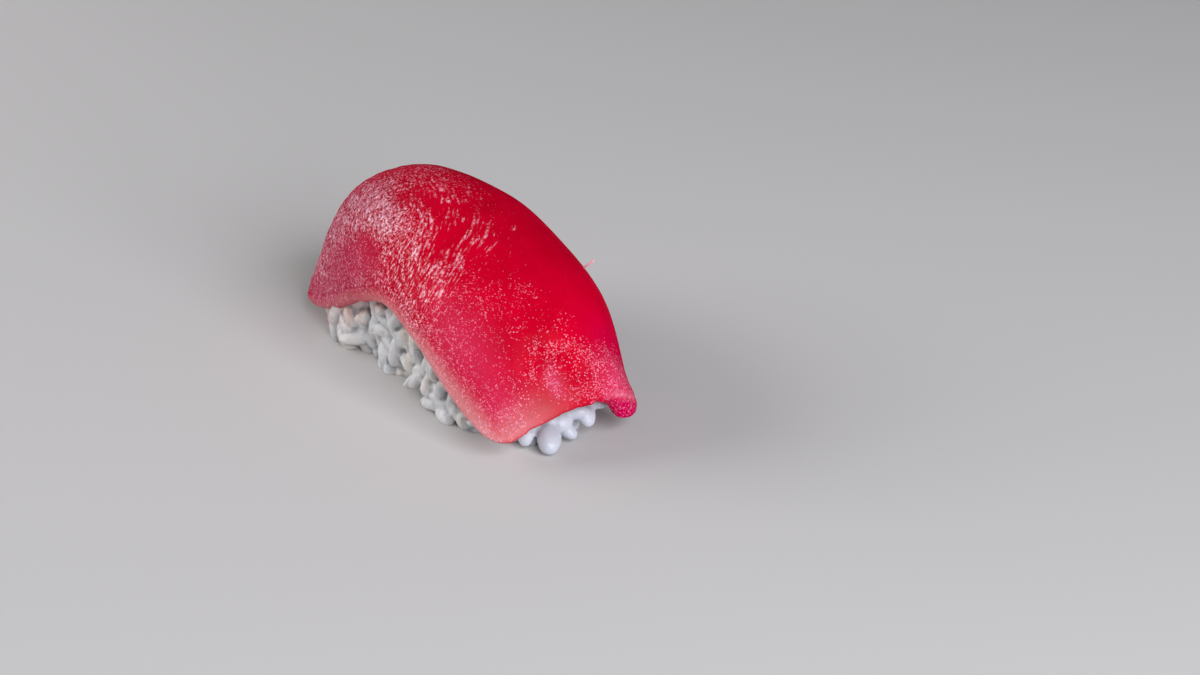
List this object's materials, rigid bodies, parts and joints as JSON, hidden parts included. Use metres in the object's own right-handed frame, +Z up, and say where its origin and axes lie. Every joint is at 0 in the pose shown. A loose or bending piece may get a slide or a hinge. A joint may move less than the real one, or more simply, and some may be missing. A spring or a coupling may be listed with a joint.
{
  "type": "tuna nigiri",
  "caption": "Tuna nigiri: a thick slice of raw red tuna draped over a hand-pressed oblong block of cooked rice.",
  "frame": {"origin": "middle of the piece's footprint, on the surface it rests on", "axes": "+Z up; +X along the piece to its near end, where rice shows under the slice; the long side with the most bare rice faces -Y"},
  "size_m": [0.0801, 0.0362, 0.034],
  "materials": {
    "tuna_flesh": "wet, translucent, fine-grained raw flesh",
    "cooked_rice": "moist, sticky, slightly translucent grains"
  },
  "bodies": {
    "root": {"tuna_slice": "tuna_flesh", "rice_block": "cooked_rice"}
  },
  "joints": []
}
